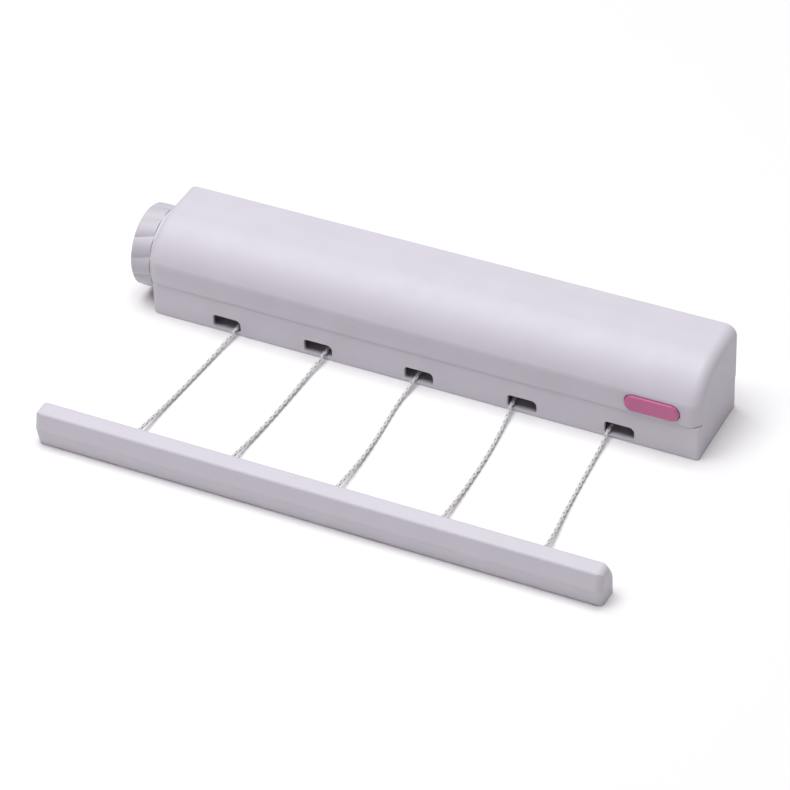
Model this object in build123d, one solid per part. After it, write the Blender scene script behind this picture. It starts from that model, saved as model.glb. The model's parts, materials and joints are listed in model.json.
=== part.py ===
from build123d import *

import math
import os

# Retractable wall clothesline with five cords on one spring-rewound drum.
# Frame: X runs along the housing, the wall is the plane y = 0, the front faces -Y and
# +Z is up. The origin is midway between the two wall keyholes. All lengths are in mm.
# Heights in this file are measured from the underside, and save() moves each piece
# down by MOUNT_Z into the frame.

MOUNT_Z = 34.0

# How far a cut runs past the face it opens, and how near two places are to be the same one
PAST = 1.0
SAME = 0.01

# Fits: added to a radius
FIT = 0.05
PRESS_FIT = 0.03
SCREW_PASS = 0.15
HEAD_PASS = 0.2

# Housing: the cover's two ends, its section and the base's tray
ENDS = (-187.8, 185.4)
COVER_DEPTH = 58.2
HEIGHT = 61.3
SPLIT_Z = 23.8
SEAM = 0.4
WALL = 2.2
BACK_WALL = 2.6
PROUD = 0.6
PROUD_END = 0.3
BASE_DEPTH = COVER_DEPTH - PROUD
BASE_ENDS = (ENDS[0] + PROUD_END, ENDS[1] - PROUD_END)
CREASE_Z = 38.2
CREASE_ROUND = 8.0
SHOULDER = (-47.8, 53.0)
BROW = (-30.4, 60.3)
CROWN_Y = -15.0
COVER_ROUND = 7.4
BASE_CORNERS = (6.0, 2.0)
BASE_INNER_CORNER = 5.4
BASE_EDGE = 0.6

# Lip inside the base's rim
LIP_GAP = 0.15
LIP_THICK = 1.35
LIP_BELOW = 3.0
LIP_ABOVE = 2.5

# Plate that closes the back
BACK_GAP = 0.2
BACK_TOP_GAP = 0.1
BACK_ROOT = 5.0

# Cord outlets, from left to right
OUTLET_X = (-132.8, -68.7, 0.7, 70.1, 134.2)
OUTLET_REACH = (10.0, 9.4)
OUTLET_LOW = 2.5
OUTLET_HIGH = 11.3
OUTLET_CORNERS = {"upper_left": 2.0, "lower_left": 2.0, "upper_right": 3.4, "lower_right": 2.0}

# Wall keyholes
KEYHOLE_X = 110.0
KEYHOLE_R = 4.5
KEYHOLE_SLOT_R = 2.3
KEYHOLE_RISE = 8.0

# Drum axis, along X
AXIS_Y = -28.4
AXIS_Z = 30.4
SHAFT_R = 4.0
SHAFT_LEFT = -197.5
SHAFT_RIGHT = 178.0
SHAFT_ROOM = 1.0
KNOB_THREAD = 11.0
GROOVE_X = (176.5, 177.6)
GROOVE_DEEP = 0.6
RING_X = (176.55, 177.55)
RING_R = (SHAFT_R - 0.55, SHAFT_R + 2.5)
RING_OPEN = 1.6

# Spools
SPOOL_WIDTH = 26.0
FLANGE = 1.5
FLANGE_R = 22.6
BARREL_R = 14.0
BARREL_WALL = 2.2
HUB_R = 6.5
WINDING_R = 20.9
WINDING_GAP = 0.2
WEB_HALF = 1.2
HUB_INSET = 1.0
PIN_R = 1.0
PIN_SHORT = 0.2
SPOOL_PIN = 6.0

# Shaft supports
SUPPORT_X = (-149.5, -34.0, 35.4)
SUPPORT_WIDE = 3.0
BOSS_Z = 7.2
BOSS_R = 3.5
BOSS_HOLE_Z = 1.4
FOOT = 2.0
FOOT_WIDE = 10.0
FOOT_HALF = 4.0
FOOT_Y = (-46.0, -12.0)
ROD_Y = -51.0
ROD_Z = 15.0
ROD_R = 2.0
BUSH_R = 6.0
BUSH_FLANGE_R = 8.0
BUSH_FLANGE = 1.2
BUSH_TIP = 0.2
SUPPORT_SECTION = [
    (-53.5, BOSS_Z),
    (-8.0, BOSS_Z),
    (-8.0, BOSS_Z + 4.0),
    (-20.0, 38.0),
    (-23.0, 41.0),
    (-34.0, 41.0),
    (-38.0, 37.0),
    (-46.5, 19.5),
    (-53.5, 19.5),
]

# Power spring and its case
CASE_LEFT = -180.0
CASE_R = 23.5
CASE_WALL = 1.8
CASE_END = 2.0
CASE_FOOT_X = -171.0
CASE_FOOT_HALF = 5.0
CASE_FOOT_IN = 9.0
CASE_RIB = 2.0
CASE_RIB_TOP = AXIS_Z - 12.0
ARBOR_R = 7.0
ARBOR_GAP = 0.5
ARBOR_INSET = 2.5
ARBOR_SLOT_Y = (5.0, 8.0)
STRIP = 0.5
STRIP_START_R = 9.0
STRIP_PITCH = 1.4
STRIP_TURNS = 8
STRIP_ROOM = 0.3
STRIP_INSET = 4.0
STRIP_HOOK_Y = 5.4
ARBOR_PIN_X = CASE_LEFT + 4.2

# Brake
WHEEL_X = (160.0, 170.0)
WHEEL_R = 18.0
WHEEL_RIM = 2.5
WHEEL_WEB = (3.5, 6.5)
WHEEL_PIN_X = WHEEL_X[0] + 1.6
BRACKET_X = (149.5, 176.0)
SHEET = 1.5
BRACKET_SECTION = [
    (-53.0, BOSS_Z),
    (-15.0, BOSS_Z),
    (-18.0, 36.0),
    (-22.0, 41.0),
    (-35.0, 41.0),
    (-39.0, 37.0),
    (-45.0, 25.4),
    (-50.8, 25.4),
    (-53.0, 22.6),
]
BRACKET_FLOOR_Y = (-53.0, -15.0)
BRACKET_WINDOW_X = (158.5, 173.5)
BRACKET_WINDOW_Y = (-54.0, -26.0)
BRACKET_HOLE_R = 6.8
BRACKET_SCREW_AT = [(154.0, -46.0), (154.0, -20.0), (167.0, -20.0)]
SPRING_TAB_RIGHT = 159.0
SPRING_TAB_Y = (-37.0, -35.5)
SPRING_TAB_Z = (26.0, 36.0)
PIVOT = (-49.0, 22.0)
PIVOT_R = 1.5
LEVER_X = (151.5, 174.0)
LEVER_ARM_X = (152.0, 159.0)
LEVER_ARM_HALF = 1.2
LEVER_TOP = 36.0
LEVER_BOSS_R = 3.2
LEVER_ARC = (202.0, 248.0)
PAD_ARC = (232.0, 248.0)
PAD_X = (161.0, 169.0)
PAD_R = (18.3, 20.8)
LEVER_ARC_R = (20.85, 23.2)
SPRING_X = 155.5
SPRING_Y = (-47.4, -37.4)
SPRING_Z = 31.2
SPRING_R = 2.7
SPRING_PITCH = 2.0
SPRING_WIRE = 0.35

# Lock button
BUTTON_X = 155.0
BUTTON_Z = 31.5
BUTTON_LONG = 35.2
BUTTON_HIGH = 11.0
BUTTON_PROUD = 1.6
BUTTON_GAP = 0.45
BUTTON_BEVEL = 0.6
BUTTON_FLANGE = (2.6, 0.4)
BUTTON_FLANGE_GAP = 0.25
BUTTON_FLANGE_THICK = 1.0
BUTTON_FLANGE_LOW = BUTTON_Z - 5.0
BUTTON_NOSE_X = (153.0, 158.0)
BUTTON_NOSE_Y = -52.0
BUTTON_NOSE_R = 1.5
BUTTON_LIP_ROOM = 3.0

# Knob: lobes that twist a little from its outer face to its inner face, against a round boss
KNOB_R = 27.0
KNOB_X = (-202.0, ENDS[0] - 0.3)
LOBES = 12
LOBE_DEPTH = 1.2
LOBE_ANGLES = (18.6, 10.1)
KNOB_ROUND = (2.4, 0.3)
KNOB_RECESS_R = 5.0
KNOB_WEB = 2.0
KNOB_SEAT_R = 26.7
KNOB_SCREW_R = 1.5
KNOB_SCREW_LONG = 10.0
KNOB_HEAD_R = 3.2
KNOB_HEAD = 2.0

# Pull bar
BAR_ENDS = (-187.2, 185.0)
BAR_BACK = -186.2
BAR_WALL = 2.2
BAR_END_ROUND = 4.5
BAR_CORD_Z = 7.0
BAR_STRIP = 2.0
BAR_STRIP_GAP = 0.1
BAR_STRIP_TOP = 16.0
BAR_CORD_GAP = 0.35
BAR_REACH = 50.0
BAR_CORD_X = (-133.6, -69.6, 0.8, 70.2, 137.0)
BAR_SCREW_X = (-101.0, -35.0, 35.0, 101.0)
BAR_SCREW_Z = 9.0
BAR_SCREW_LONG = 9.0
BAR_SCREW_DEEP = 12.0
BAR_HEAD = 1.1
BAR_HEAD_RECESS = 1.2
BAR_POST_R = 3.0
BAR_POST_DEEP = 16.0
STOP_Y = BAR_BACK - 2.3
STOP_R = 2.8
STOP_LONG = 3.2
STOP_ROUND = 0.6
BAR_SECTION = [
    ((0.0, 0.0), 0.8),
    ((-15.0, 0.0), 1.2),
    ((-17.5, 12.0), 5.0),
    ((-14.5, 23.5), 1.8),
    ((-4.5, 24.5), 2.0),
    ((-0.3, 18.5), 1.5),
]

# Screws
SCREW_R = 1.25
SCREW_HEAD_R = 2.5
SCREW_HEAD = 1.8
SCREW_LONG = 6.0
# Cross recess: its reach and width as shares of the head's radius, its depth of the head
CROSS_REACH = 0.6
CROSS_WIDE = 0.25
CROSS_DEEP = 0.5

# Cover screws, from below into posts of the cover
COVER_SCREW_AT = [(x, y) for x in (-90.0, 90.0) for y in (-40.0, -10.0)]
COVER_SCREW_R = 1.5
COVER_SCREW_LONG = 12.0
COVER_SCREW_TOP = 16.0
COVER_HEAD_R = 3.0
COVER_HEAD = 2.0
COVER_RECESS_R = 3.4
COVER_RECESS_Z = 2.6
COVER_BOSS_R = 5.5
COVER_BOSS_Z = 5.2
COVER_POST_R = 4.0
COVER_POST_LOW = 5.3

# Cords: route points of each, from the drum to the stop in the bar
CORD_R = 1.25
RUN_SHARE = 0.45
CORD_ROUTES = {
    "cord_1": [
        (-124.8, -34.0, 8.4),
        (-126.7, -55.0, 4.3),
        (-128.1, -80.0, 2.3),
        (-129.7, -108.0, 1.7),
        (-131.5, -136.0, 2.0),
        (-132.9, -163.0, 3.9),
        (-133.6, -188.3, 7.0),
    ],
    "cord_2": [
        (-63.6, -34.0, 8.4),
        (-64.4, -55.0, 4.5),
        (-65.5, -80.0, 2.6),
        (-66.1, -108.0, 1.9),
        (-67.2, -136.0, 1.8),
        (-69.2, -163.0, 3.4),
        (-69.6, -188.3, 7.0),
    ],
    "cord_3": [
        (-2.0, -34.0, 8.4),
        (-1.6, -55.0, 4.1),
        (-3.0, -80.0, 2.0),
        (-0.3, -108.0, 1.6),
        (1.5, -136.0, 2.3),
        (1.3, -163.0, 4.2),
        (0.8, -188.3, 7.0),
    ],
    "cord_4": [
        (60.4, -34.0, 8.4),
        (62.5, -55.0, 4.4),
        (66.3, -80.0, 2.4),
        (68.7, -108.0, 1.7),
        (69.7, -136.0, 1.9),
        (70.0, -163.0, 3.7),
        (70.2, -188.3, 7.0),
    ],
    "cord_5": [
        (125.2, -34.0, 8.4),
        (126.5, -55.0, 4.3),
        (128.2, -80.0, 2.2),
        (130.1, -108.0, 1.6),
        (132.5, -136.0, 2.1),
        (136.0, -163.0, 4.0),
        (137.0, -188.3, 7.0),
    ],
}


# Helpers


def save(name, shape):
    """Write one piece, moved from the underside's height to the frame's."""
    export_step(Pos(0, 0, -MOUNT_Z) * shape, f"parts/{name}.step")


def block(x, y, z):
    """A box between the two ends given for each axis."""
    size = (x[1] - x[0], y[1] - y[0], z[1] - z[0])
    return Pos(x[0], y[0], z[0]) * Box(*size, align=(Align.MIN,) * 3)


def along_x(radius, x, y=AXIS_Y, z=AXIS_Z):
    """A round bar along X between the two ends in x."""
    bar = Cylinder(radius, x[1] - x[0], align=(Align.CENTER, Align.CENTER, Align.MIN))
    return Pos(x[0], y, z) * Rot(0, 90, 0) * bar


def along_y(radius, x, y, z):
    """A round bar along Y between the two ends in y."""
    bar = Cylinder(radius, y[1] - y[0], align=(Align.CENTER, Align.CENTER, Align.MIN))
    return Pos(x, y[0], z) * Rot(-90, 0, 0) * bar


def along_z(radius, x, y, z):
    """A round bar along Z between the two ends in z."""
    bar = Cylinder(radius, z[1] - z[0], align=(Align.CENTER, Align.CENTER, Align.MIN))
    return Pos(x, y, z[0]) * bar


def ring(radii, x, y=AXIS_Y, z=AXIS_Z):
    """A tube along X between two radii."""
    return along_x(radii[1], x, y, z) - along_x(radii[0], x, y, z)


def slab(face, x):
    """A face drawn as (y, z), extruded along X."""
    return extrude(Plane.YZ.offset(x[0]) * face, amount=x[1] - x[0], dir=(1, 0, 0))


def through_front(face, y):
    """A face drawn as (x, z), extruded between two depths."""
    return extrude(Plane.XZ.offset(-y[1]) * face, amount=y[1] - y[0], dir=(0, -1, 0))


def outline(points):
    return make_face(Polyline(*points, close=True))


def panel(y, z):
    """A rectangle between the two ends given for each axis."""
    return Pos(sum(y) / 2, sum(z) / 2) * Rectangle(y[1] - y[0], z[1] - z[0])


def sector(radii, angles):
    """Part of a ring about the drum axis, as a (y, z) face."""
    arcs = [CenterArc((0, 0), r, angles[0], angles[1] - angles[0]) for r in radii]
    sides = [Line(arcs[0] @ end, arcs[1] @ end) for end in (0, 1)]
    return Pos(AXIS_Y, AXIS_Z) * make_face(arcs + sides)


def obround(length, height):
    return SlotOverall(length, height)


def round_corner(face, x, z, radius):
    """Round the one corner of a face that is nearest to a point."""
    corner = min(face.vertices(), key=lambda v: math.hypot(v.X - x, v.Y - z))
    return fillet(corner, radius)


def screw(head_r, head, shank_r, length):
    """A pan-head screw with a cross recess, pointing down from z = 0."""
    body = along_z(head_r, 0, 0, (0, head)) + along_z(shank_r, 0, 0, (-length, 0))
    reach = head_r * CROSS_REACH
    half = head_r * CROSS_WIDE / 2
    cross = block((-reach, reach), (-half, half), (head * (1 - CROSS_DEEP), head))
    return body - cross - Rot(0, 0, 90) * cross


# Housing


def cover_outline():
    """The cover's section as (y, z): front, softened crease, shoulder, crown and back."""
    low = SPLIT_Z + SEAM / 2
    front = Line((-COVER_DEPTH, low), (-COVER_DEPTH, CREASE_Z))
    shoulder = ThreePointArc((-COVER_DEPTH, CREASE_Z), SHOULDER, BROW)
    rest = Polyline(BROW, (CROWN_Y, HEIGHT), (0, HEIGHT), (0, low), (-COVER_DEPTH, low))
    face = make_face([front, shoulder] + rest.edges())
    return round_corner(face, -COVER_DEPTH, CREASE_Z, CREASE_ROUND)


def hollow_outline():
    """The cover's inner section, open below and behind."""
    low = SPLIT_Z - PAST
    face = offset(cover_outline(), -WALL, kind=Kind.INTERSECTION)
    face += panel((-COVER_DEPTH + WALL, PAST), (low, CREASE_Z - CREASE_ROUND / 2))
    return face + panel((CROWN_Y / 2, PAST), (low, HEIGHT - WALL))


def rounded_ends(face, x, radius, back, low):
    """A slab whose end rims are rounded, apart from those at its back and its underside."""
    solid = slab(face, x)
    rims = []
    for edge in solid.edges():
        centre = edge.center()
        at_end = min(abs(centre.X - x[0]), abs(centre.X - x[1])) < SAME
        if at_end and centre.Y < back - SAME and centre.Z > low + SAME:
            rims.append(edge)
    return fillet(rims, radius)


def cover_screw_posts(outer):
    """Posts that hang from the crown down to the base's floor."""
    joint = SPLIT_Z + PAST
    tall = [along_z(COVER_POST_R, x, y, (joint, HEIGHT)) & outer for x, y in COVER_SCREW_AT]
    low = [along_z(COVER_POST_R, x, y, (COVER_POST_LOW, joint)) for x, y in COVER_SCREW_AT]
    return tall + low


def knob_seat(z):
    """The part of the left end's round boss that lies between two heights."""
    wall_x = (ENDS[0], ENDS[0] + WALL)
    return along_x(KNOB_SEAT_R, wall_x) & block(wall_x, (-COVER_DEPTH, 0), z)


def top_cover():
    inside = (ENDS[0] + WALL, ENDS[1] - WALL)
    low = SPLIT_Z + SEAM / 2
    outer = rounded_ends(cover_outline(), ENDS, COVER_ROUND, 0, low)
    hollow = rounded_ends(hollow_outline(), inside, COVER_ROUND - WALL, PAST, SPLIT_Z - PAST)
    cover = outer - hollow + knob_seat((low, HEIGHT))
    for post in cover_screw_posts(outer):
        cover += post
    for x, y in COVER_SCREW_AT:
        cover -= along_z(COVER_SCREW_R + FIT, x, y, (COVER_POST_LOW - PAST, COVER_SCREW_TOP))
    gap = 2 * BUTTON_GAP
    hole = Pos(BUTTON_X, BUTTON_Z) * obround(BUTTON_LONG + gap, BUTTON_HIGH + gap)
    cover -= through_front(hole, (-COVER_DEPTH - PAST, -COVER_DEPTH + WALL + PAST))
    slot = SHAFT_R + SHAFT_ROOM
    wall_x = (ENDS[0] - PAST, inside[0] + PAST)
    cover -= block(wall_x, (AXIS_Y - slot, AXIS_Y + slot), (SPLIT_Z - PAST, AXIS_Z))
    return cover - along_x(slot, wall_x)


def outlet(x):
    """One outlet, with its upper right corner rounder than the others."""
    left, right = x - OUTLET_REACH[0], x + OUTLET_REACH[1]
    middle = ((left + right) / 2, (OUTLET_LOW + OUTLET_HIGH) / 2)
    face = Pos(*middle) * Rectangle(right - left, OUTLET_HIGH - OUTLET_LOW)
    for corner, radius in OUTLET_CORNERS.items():
        height = OUTLET_HIGH if "upper" in corner else OUTLET_LOW
        face = round_corner(face, left if "left" in corner else right, height, radius)
    return through_front(face, (-BASE_DEPTH - PAST, -BASE_DEPTH + WALL + PAST))


def keyhole(x):
    """Round entry for a screw head with a slot that rises from it."""
    face = Pos(x, MOUNT_Z) * Circle(KEYHOLE_R)
    face += Pos(x, MOUNT_Z + KEYHOLE_RISE / 2) * Rectangle(2 * KEYHOLE_SLOT_R, KEYHOLE_RISE)
    face += Pos(x, MOUNT_Z + KEYHOLE_RISE) * Circle(KEYHOLE_SLOT_R)
    return through_front(face, (-BACK_WALL - PAST, PAST))


def bracket_screw_points():
    """Where the supports, the spring case and the brake bracket are screwed down."""
    points = []
    for x in SUPPORT_X:
        toward = -1 if x == SUPPORT_X[0] else 1
        points += [(x + toward * (SUPPORT_WIDE + FOOT_WIDE) / 2, y) for y in FOOT_Y]
    return points + [(CASE_FOOT_X, y) for y in FOOT_Y] + BRACKET_SCREW_AT


def tray_block(x, y, z, corners):
    """A block whose two front uprights are rounded, the left one first."""
    tray = block(x, y, z)
    for end, radius in zip(x, corners):
        uprights = tray.edges().filter_by(Axis.Z)
        corner = min(uprights, key=lambda e: math.hypot(e.center().X - end, e.center().Y - y[0]))
        tray = fillet(corner, radius)
    return tray


def base_outer():
    """The tray's outer block with its front corners and lower edge rounded."""
    tray = tray_block(BASE_ENDS, (-BASE_DEPTH, 0), (0, SPLIT_Z - SEAM / 2), BASE_CORNERS)
    low = [e for e in tray.edges() if e.center().Z < SAME and e.center().Y < -SAME]
    return fillet(low, BASE_EDGE)


def base_lip():
    """The lip inside the tray's rim that the cover closes over."""
    z = (SPLIT_Z - LIP_BELOW, SPLIT_Z + LIP_ABOVE)
    inset = WALL + LIP_GAP
    outer_x = (ENDS[0] + inset, ENDS[1] - inset)
    inner_x = (outer_x[0] + LIP_THICK, outer_x[1] - LIP_THICK)
    front = -COVER_DEPTH + inset
    outer_r = COVER_ROUND - inset
    inner_r = outer_r - LIP_THICK
    lip = tray_block(outer_x, (front, -BACK_WALL), z, (outer_r, outer_r))
    cut_z = (z[0] - PAST, z[1] + PAST)
    lip -= tray_block(inner_x, (front + LIP_THICK, PAST), cut_z, (inner_r, inner_r))
    above = (SPLIT_Z - SEAM / 2, cut_z[1])
    reach = BUTTON_LONG / 2 + BUTTON_LIP_ROOM
    through = (-PAST, LIP_THICK + PAST)
    front_y = tuple(front + end for end in through)
    lip -= block((BUTTON_X - reach, BUTTON_X + reach), front_y, above)
    shaft_reach = SHAFT_R + 2 * SHAFT_ROOM
    left_x = tuple(outer_x[0] + end for end in through)
    return lip - block(left_x, (AXIS_Y - shaft_reach, AXIS_Y + shaft_reach), above)


def base_back():
    """The plate that closes the back, with its upper corners rounded like the cover's."""
    inset = WALL + BACK_GAP
    z = (SPLIT_Z - BACK_ROOT, HEIGHT - WALL - BACK_TOP_GAP)
    plate = block((ENDS[0] + inset, ENDS[1] - inset), (-BACK_WALL, 0), z)
    top = plate.edges().filter_by(Axis.Y).sort_by(Axis.Z)[-2:]
    return fillet(top, COVER_ROUND - WALL)


def base_shell():
    inner_x = (BASE_ENDS[0] + WALL, BASE_ENDS[1] - WALL)
    corners = (BASE_INNER_CORNER, BASE_INNER_CORNER)
    base = base_outer() + knob_seat((0, SPLIT_Z - SEAM / 2))
    base -= tray_block(inner_x, (-BASE_DEPTH + WALL, -BACK_WALL), (WALL, SPLIT_Z + PAST), corners)
    base += base_back()
    base += base_lip()
    for x, y in bracket_screw_points():
        base += along_z(BOSS_R, x, y, (WALL / 2, BOSS_Z))
        base -= along_z(SCREW_R + FIT, x, y, (BOSS_HOLE_Z, BOSS_Z + PAST))
    for x, y in COVER_SCREW_AT:
        base += along_z(COVER_BOSS_R, x, y, (WALL / 2, COVER_BOSS_Z))
        base -= along_z(COVER_RECESS_R, x, y, (-PAST, COVER_RECESS_Z))
        through = (COVER_RECESS_Z - PAST, COVER_BOSS_Z + PAST)
        base -= along_z(COVER_SCREW_R + HEAD_PASS, x, y, through)
    for x in OUTLET_X:
        base -= outlet(x)
    for x in (-KEYHOLE_X, KEYHOLE_X):
        base -= keyhole(x)
    return base


def cover_screws():
    one = Rot(180, 0, 0) * screw(COVER_HEAD_R, COVER_HEAD, COVER_SCREW_R, COVER_SCREW_LONG)
    return Compound(children=[Pos(x, y, COVER_RECESS_Z) * one for x, y in COVER_SCREW_AT])


def bracket_screws():
    """Screws of the shaft supports, the spring case and the brake bracket."""
    one = screw(SCREW_HEAD_R, SCREW_HEAD, SCREW_R, SCREW_LONG)
    bracket = BRACKET_X[0]
    tops = [
        (x, y, BOSS_Z + (SHEET if x > bracket else FOOT)) for x, y in bracket_screw_points()
    ]
    return Compound(children=[Pos(*top) * one for top in tops])


def guide_rod():
    """The rod behind the outlets that keeps the cords down."""
    return along_x(ROD_R, (SUPPORT_X[0] - SUPPORT_WIDE / 2, BRACKET_X[0] + SHEET), ROD_Y, ROD_Z)


# Shaft supports and bushes


def shaft_support(x, toward, cup=False):
    """An upright that carries the shaft and the guide rod, on two feet."""
    half = SUPPORT_WIDE / 2
    wide = (x - half, x + half)
    through = (wide[0] - PAST, wide[1] + PAST)
    plate = slab(outline(SUPPORT_SECTION), wide)
    if cup:
        plate += along_x(CASE_R, wide)
    foot_x = sorted((x, x + toward * (half + FOOT_WIDE)))
    screw_x = x + toward * (SUPPORT_WIDE + FOOT_WIDE) / 2
    for y in FOOT_Y:
        plate += block(foot_x, (y - FOOT_HALF, y + FOOT_HALF), (BOSS_Z, BOSS_Z + FOOT))
        plate -= along_z(SCREW_R + SCREW_PASS, screw_x, y, (BOSS_Z - PAST, BOSS_Z + FOOT + PAST))
    plate -= along_x(ARBOR_R + ARBOR_GAP if cup else BUSH_R + FIT, through)
    return plate - along_x(ROD_R + FIT, through, ROD_Y, ROD_Z)


def bush(x, toward, wide):
    """A flanged bush: its flange lies on the plate's face at x, its sleeve goes through."""
    tip = x - toward * (wide + BUSH_TIP)
    sleeve = ring((SHAFT_R + FIT, BUSH_R), sorted((x, tip)))
    return sleeve + ring((SHAFT_R + FIT, BUSH_FLANGE_R), sorted((x, x + toward * BUSH_FLANGE)))


# Power spring


def spring_case():
    """A cup round the power spring, open towards the first support."""
    right = SUPPORT_X[0] - SUPPORT_WIDE / 2
    case = along_x(CASE_R, (CASE_LEFT, right))
    foot_x = (CASE_FOOT_X - CASE_FOOT_HALF, CASE_FOOT_X + CASE_FOOT_HALF)
    rib_x = (foot_x[0], foot_x[0] + CASE_RIB)
    for y, side in zip(FOOT_Y, (-1, 1)):
        foot_y = (y - FOOT_HALF, y + FOOT_HALF)
        inward = sorted((y - side * FOOT_HALF, y - side * CASE_FOOT_IN))
        case += block(foot_x, foot_y, (BOSS_Z, BOSS_Z + FOOT))
        case += block(rib_x, foot_y, (BOSS_Z, CASE_RIB_TOP))
        case += block(rib_x, inward, (BOSS_Z, CASE_RIB_TOP))
        through = (BOSS_Z - PAST, BOSS_Z + FOOT + PAST)
        case -= along_z(SCREW_R + SCREW_PASS, CASE_FOOT_X, y, through)
    case -= along_x(CASE_R - CASE_WALL, (CASE_LEFT + CASE_END, right + PAST))
    return case - along_x(BUSH_R + FIT, (CASE_LEFT - PAST, CASE_LEFT + CASE_END + PAST))


def spring_arbor():
    """The sleeve on the shaft that the power spring's inner end is hooked into."""
    x = (CASE_LEFT + ARBOR_INSET, SUPPORT_X[0] - ARBOR_INSET)
    slot_y = tuple(AXIS_Y + end for end in ARBOR_SLOT_Y)
    slot = block(x, slot_y, (AXIS_Z - STRIP - STRIP_ROOM, AXIS_Z + STRIP_ROOM))
    return pin_holes(ring((SHAFT_R + PRESS_FIT, ARBOR_R), x) - slot, [ARBOR_PIN_X])


def power_spring():
    """A spiral strip made of half turns about two centres."""
    shift = STRIP_PITCH / 4
    rails = ([], [])
    radius = STRIP_START_R
    for half_turn in range(2 * STRIP_TURNS):
        upper = half_turn % 2 == 0
        centre = (-shift if upper else shift, 0)
        for rail, grow in zip(rails, (0, STRIP)):
            rail.append(CenterArc(centre, radius + grow, 0 if upper else 180, 180))
        radius += STRIP_PITCH / 2
    ends = [
        Line(rails[0][0] @ 0, rails[1][0] @ 0),
        Line(rails[0][-1] @ 1, rails[1][-1] @ 1),
    ]
    strip = make_face(rails[0] + rails[1] + ends)
    tail_out = STRIP_START_R - shift + STRIP
    strip += panel((STRIP_HOOK_Y, tail_out), (-STRIP, 0))
    strip_x = (CASE_LEFT + STRIP_INSET, SUPPORT_X[0] - STRIP_INSET)
    return slab(Pos(AXIS_Y, AXIS_Z) * strip, strip_x)


# Drum


def drive_pin_x():
    """Pins: one in each spool's hub, then the arbor's and the brake wheel's."""
    return [x + SPOOL_PIN for x in OUTLET_X] + [ARBOR_PIN_X, WHEEL_PIN_X]


def drive_pins():
    reach = HUB_R - PIN_SHORT
    z = (AXIS_Z - reach, AXIS_Z + reach)
    return Compound(children=[along_z(PIN_R, x, AXIS_Y, z) for x in drive_pin_x()])


def pin_holes(solid, points):
    """Holes across the axis through anything up to the arbor's radius."""
    reach = ARBOR_R + PAST
    for x in points:
        solid -= along_z(PIN_R + PRESS_FIT, x, AXIS_Y, (AXIS_Z - reach, AXIS_Z + reach))
    return solid


def drum_shaft():
    shaft = along_x(SHAFT_R, (SHAFT_LEFT, SHAFT_RIGHT))
    shaft -= along_x(KNOB_SCREW_R + FIT, (SHAFT_LEFT - PAST, SHAFT_LEFT + KNOB_THREAD))
    shaft -= ring((SHAFT_R - GROOVE_DEEP, SHAFT_R + PAST), GROOVE_X)
    return pin_holes(shaft, drive_pin_x())


def spool(x):
    half = SPOOL_WIDTH / 2
    barrel = BARREL_R - BARREL_WALL
    parts = ring((barrel, FLANGE_R), (x - half, x - half + FLANGE))
    parts += ring((barrel, FLANGE_R), (x + half - FLANGE, x + half))
    parts += ring((barrel, BARREL_R), (x - half, x + half))
    parts += ring((SHAFT_R + PRESS_FIT, BARREL_R - BARREL_WALL / 2), (x - WEB_HALF, x + WEB_HALF))
    parts += ring((SHAFT_R + PRESS_FIT, HUB_R), (x - half + HUB_INSET, x + half - HUB_INSET))
    return pin_holes(parts, [x + SPOOL_PIN])


def cord_winding(x):
    half = SPOOL_WIDTH / 2 - FLANGE - WINDING_GAP
    return ring((BARREL_R + FIT, WINDING_R), (x - half, x + half))


def brake_wheel():
    web_x = tuple(WHEEL_X[0] + end for end in WHEEL_WEB)
    wheel = ring((WHEEL_R - WHEEL_RIM, WHEEL_R), WHEEL_X)
    wheel += ring((SHAFT_R + PRESS_FIT, WHEEL_R - WHEEL_RIM / 2), web_x)
    wheel += ring((SHAFT_R + PRESS_FIT, HUB_R), WHEEL_X)
    return pin_holes(wheel, [WHEEL_PIN_X])


def retaining_ring():
    """An open ring in the groove at the shaft's right end."""
    gap_x = (RING_X[0] - PAST, RING_X[1] + PAST)
    gap_y = (AXIS_Y - RING_OPEN, AXIS_Y + RING_OPEN)
    return ring(RING_R, RING_X) - block(gap_x, gap_y, (AXIS_Z, AXIS_Z + RING_R[1] + PAST))


def lobed_face(turn):
    """A round of convex lobes, turned by an angle in degrees."""
    step = 360 / LOBES
    radii = (KNOB_R - LOBE_DEPTH, KNOB_R, KNOB_R - LOBE_DEPTH)
    rim = []
    for lobe in range(LOBES):
        angles = [math.radians(turn + step * (lobe + part)) for part in (0, 0.5, 1)]
        points = [(r * math.cos(a), r * math.sin(a)) for r, a in zip(radii, angles)]
        rim.append(ThreePointArc(*points))
    return Pos(AXIS_Y, AXIS_Z) * make_face(rim)


def knob():
    """Shallow twisted lobes, turned to a rounded outer edge, with a recess for the screw."""
    sections = [Plane.YZ.offset(x) * lobed_face(turn) for x, turn in zip(KNOB_X, LOBE_ANGLES)]
    body = loft(sections, ruled=True)
    turned = along_x(KNOB_R + SAME, KNOB_X)
    for end, radius in zip((0, -1), KNOB_ROUND):
        rim = turned.edges().filter_by(GeomType.CIRCLE).sort_by(Axis.X)[end]
        turned = fillet(rim, radius)
    body = body & turned
    body -= along_x(SHAFT_R + PRESS_FIT, (SHAFT_LEFT, KNOB_X[1] + PAST))
    body -= along_x(KNOB_SCREW_R + HEAD_PASS, (KNOB_X[0] - PAST, SHAFT_LEFT + PAST))
    return body - along_x(KNOB_RECESS_R, (KNOB_X[0] - PAST, SHAFT_LEFT - KNOB_WEB))


def knob_screw():
    one = Rot(0, -90, 0) * screw(KNOB_HEAD_R, KNOB_HEAD, KNOB_SCREW_R, KNOB_SCREW_LONG)
    return Pos(SHAFT_LEFT - KNOB_WEB, AXIS_Y, AXIS_Z) * one


# Lock


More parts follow.
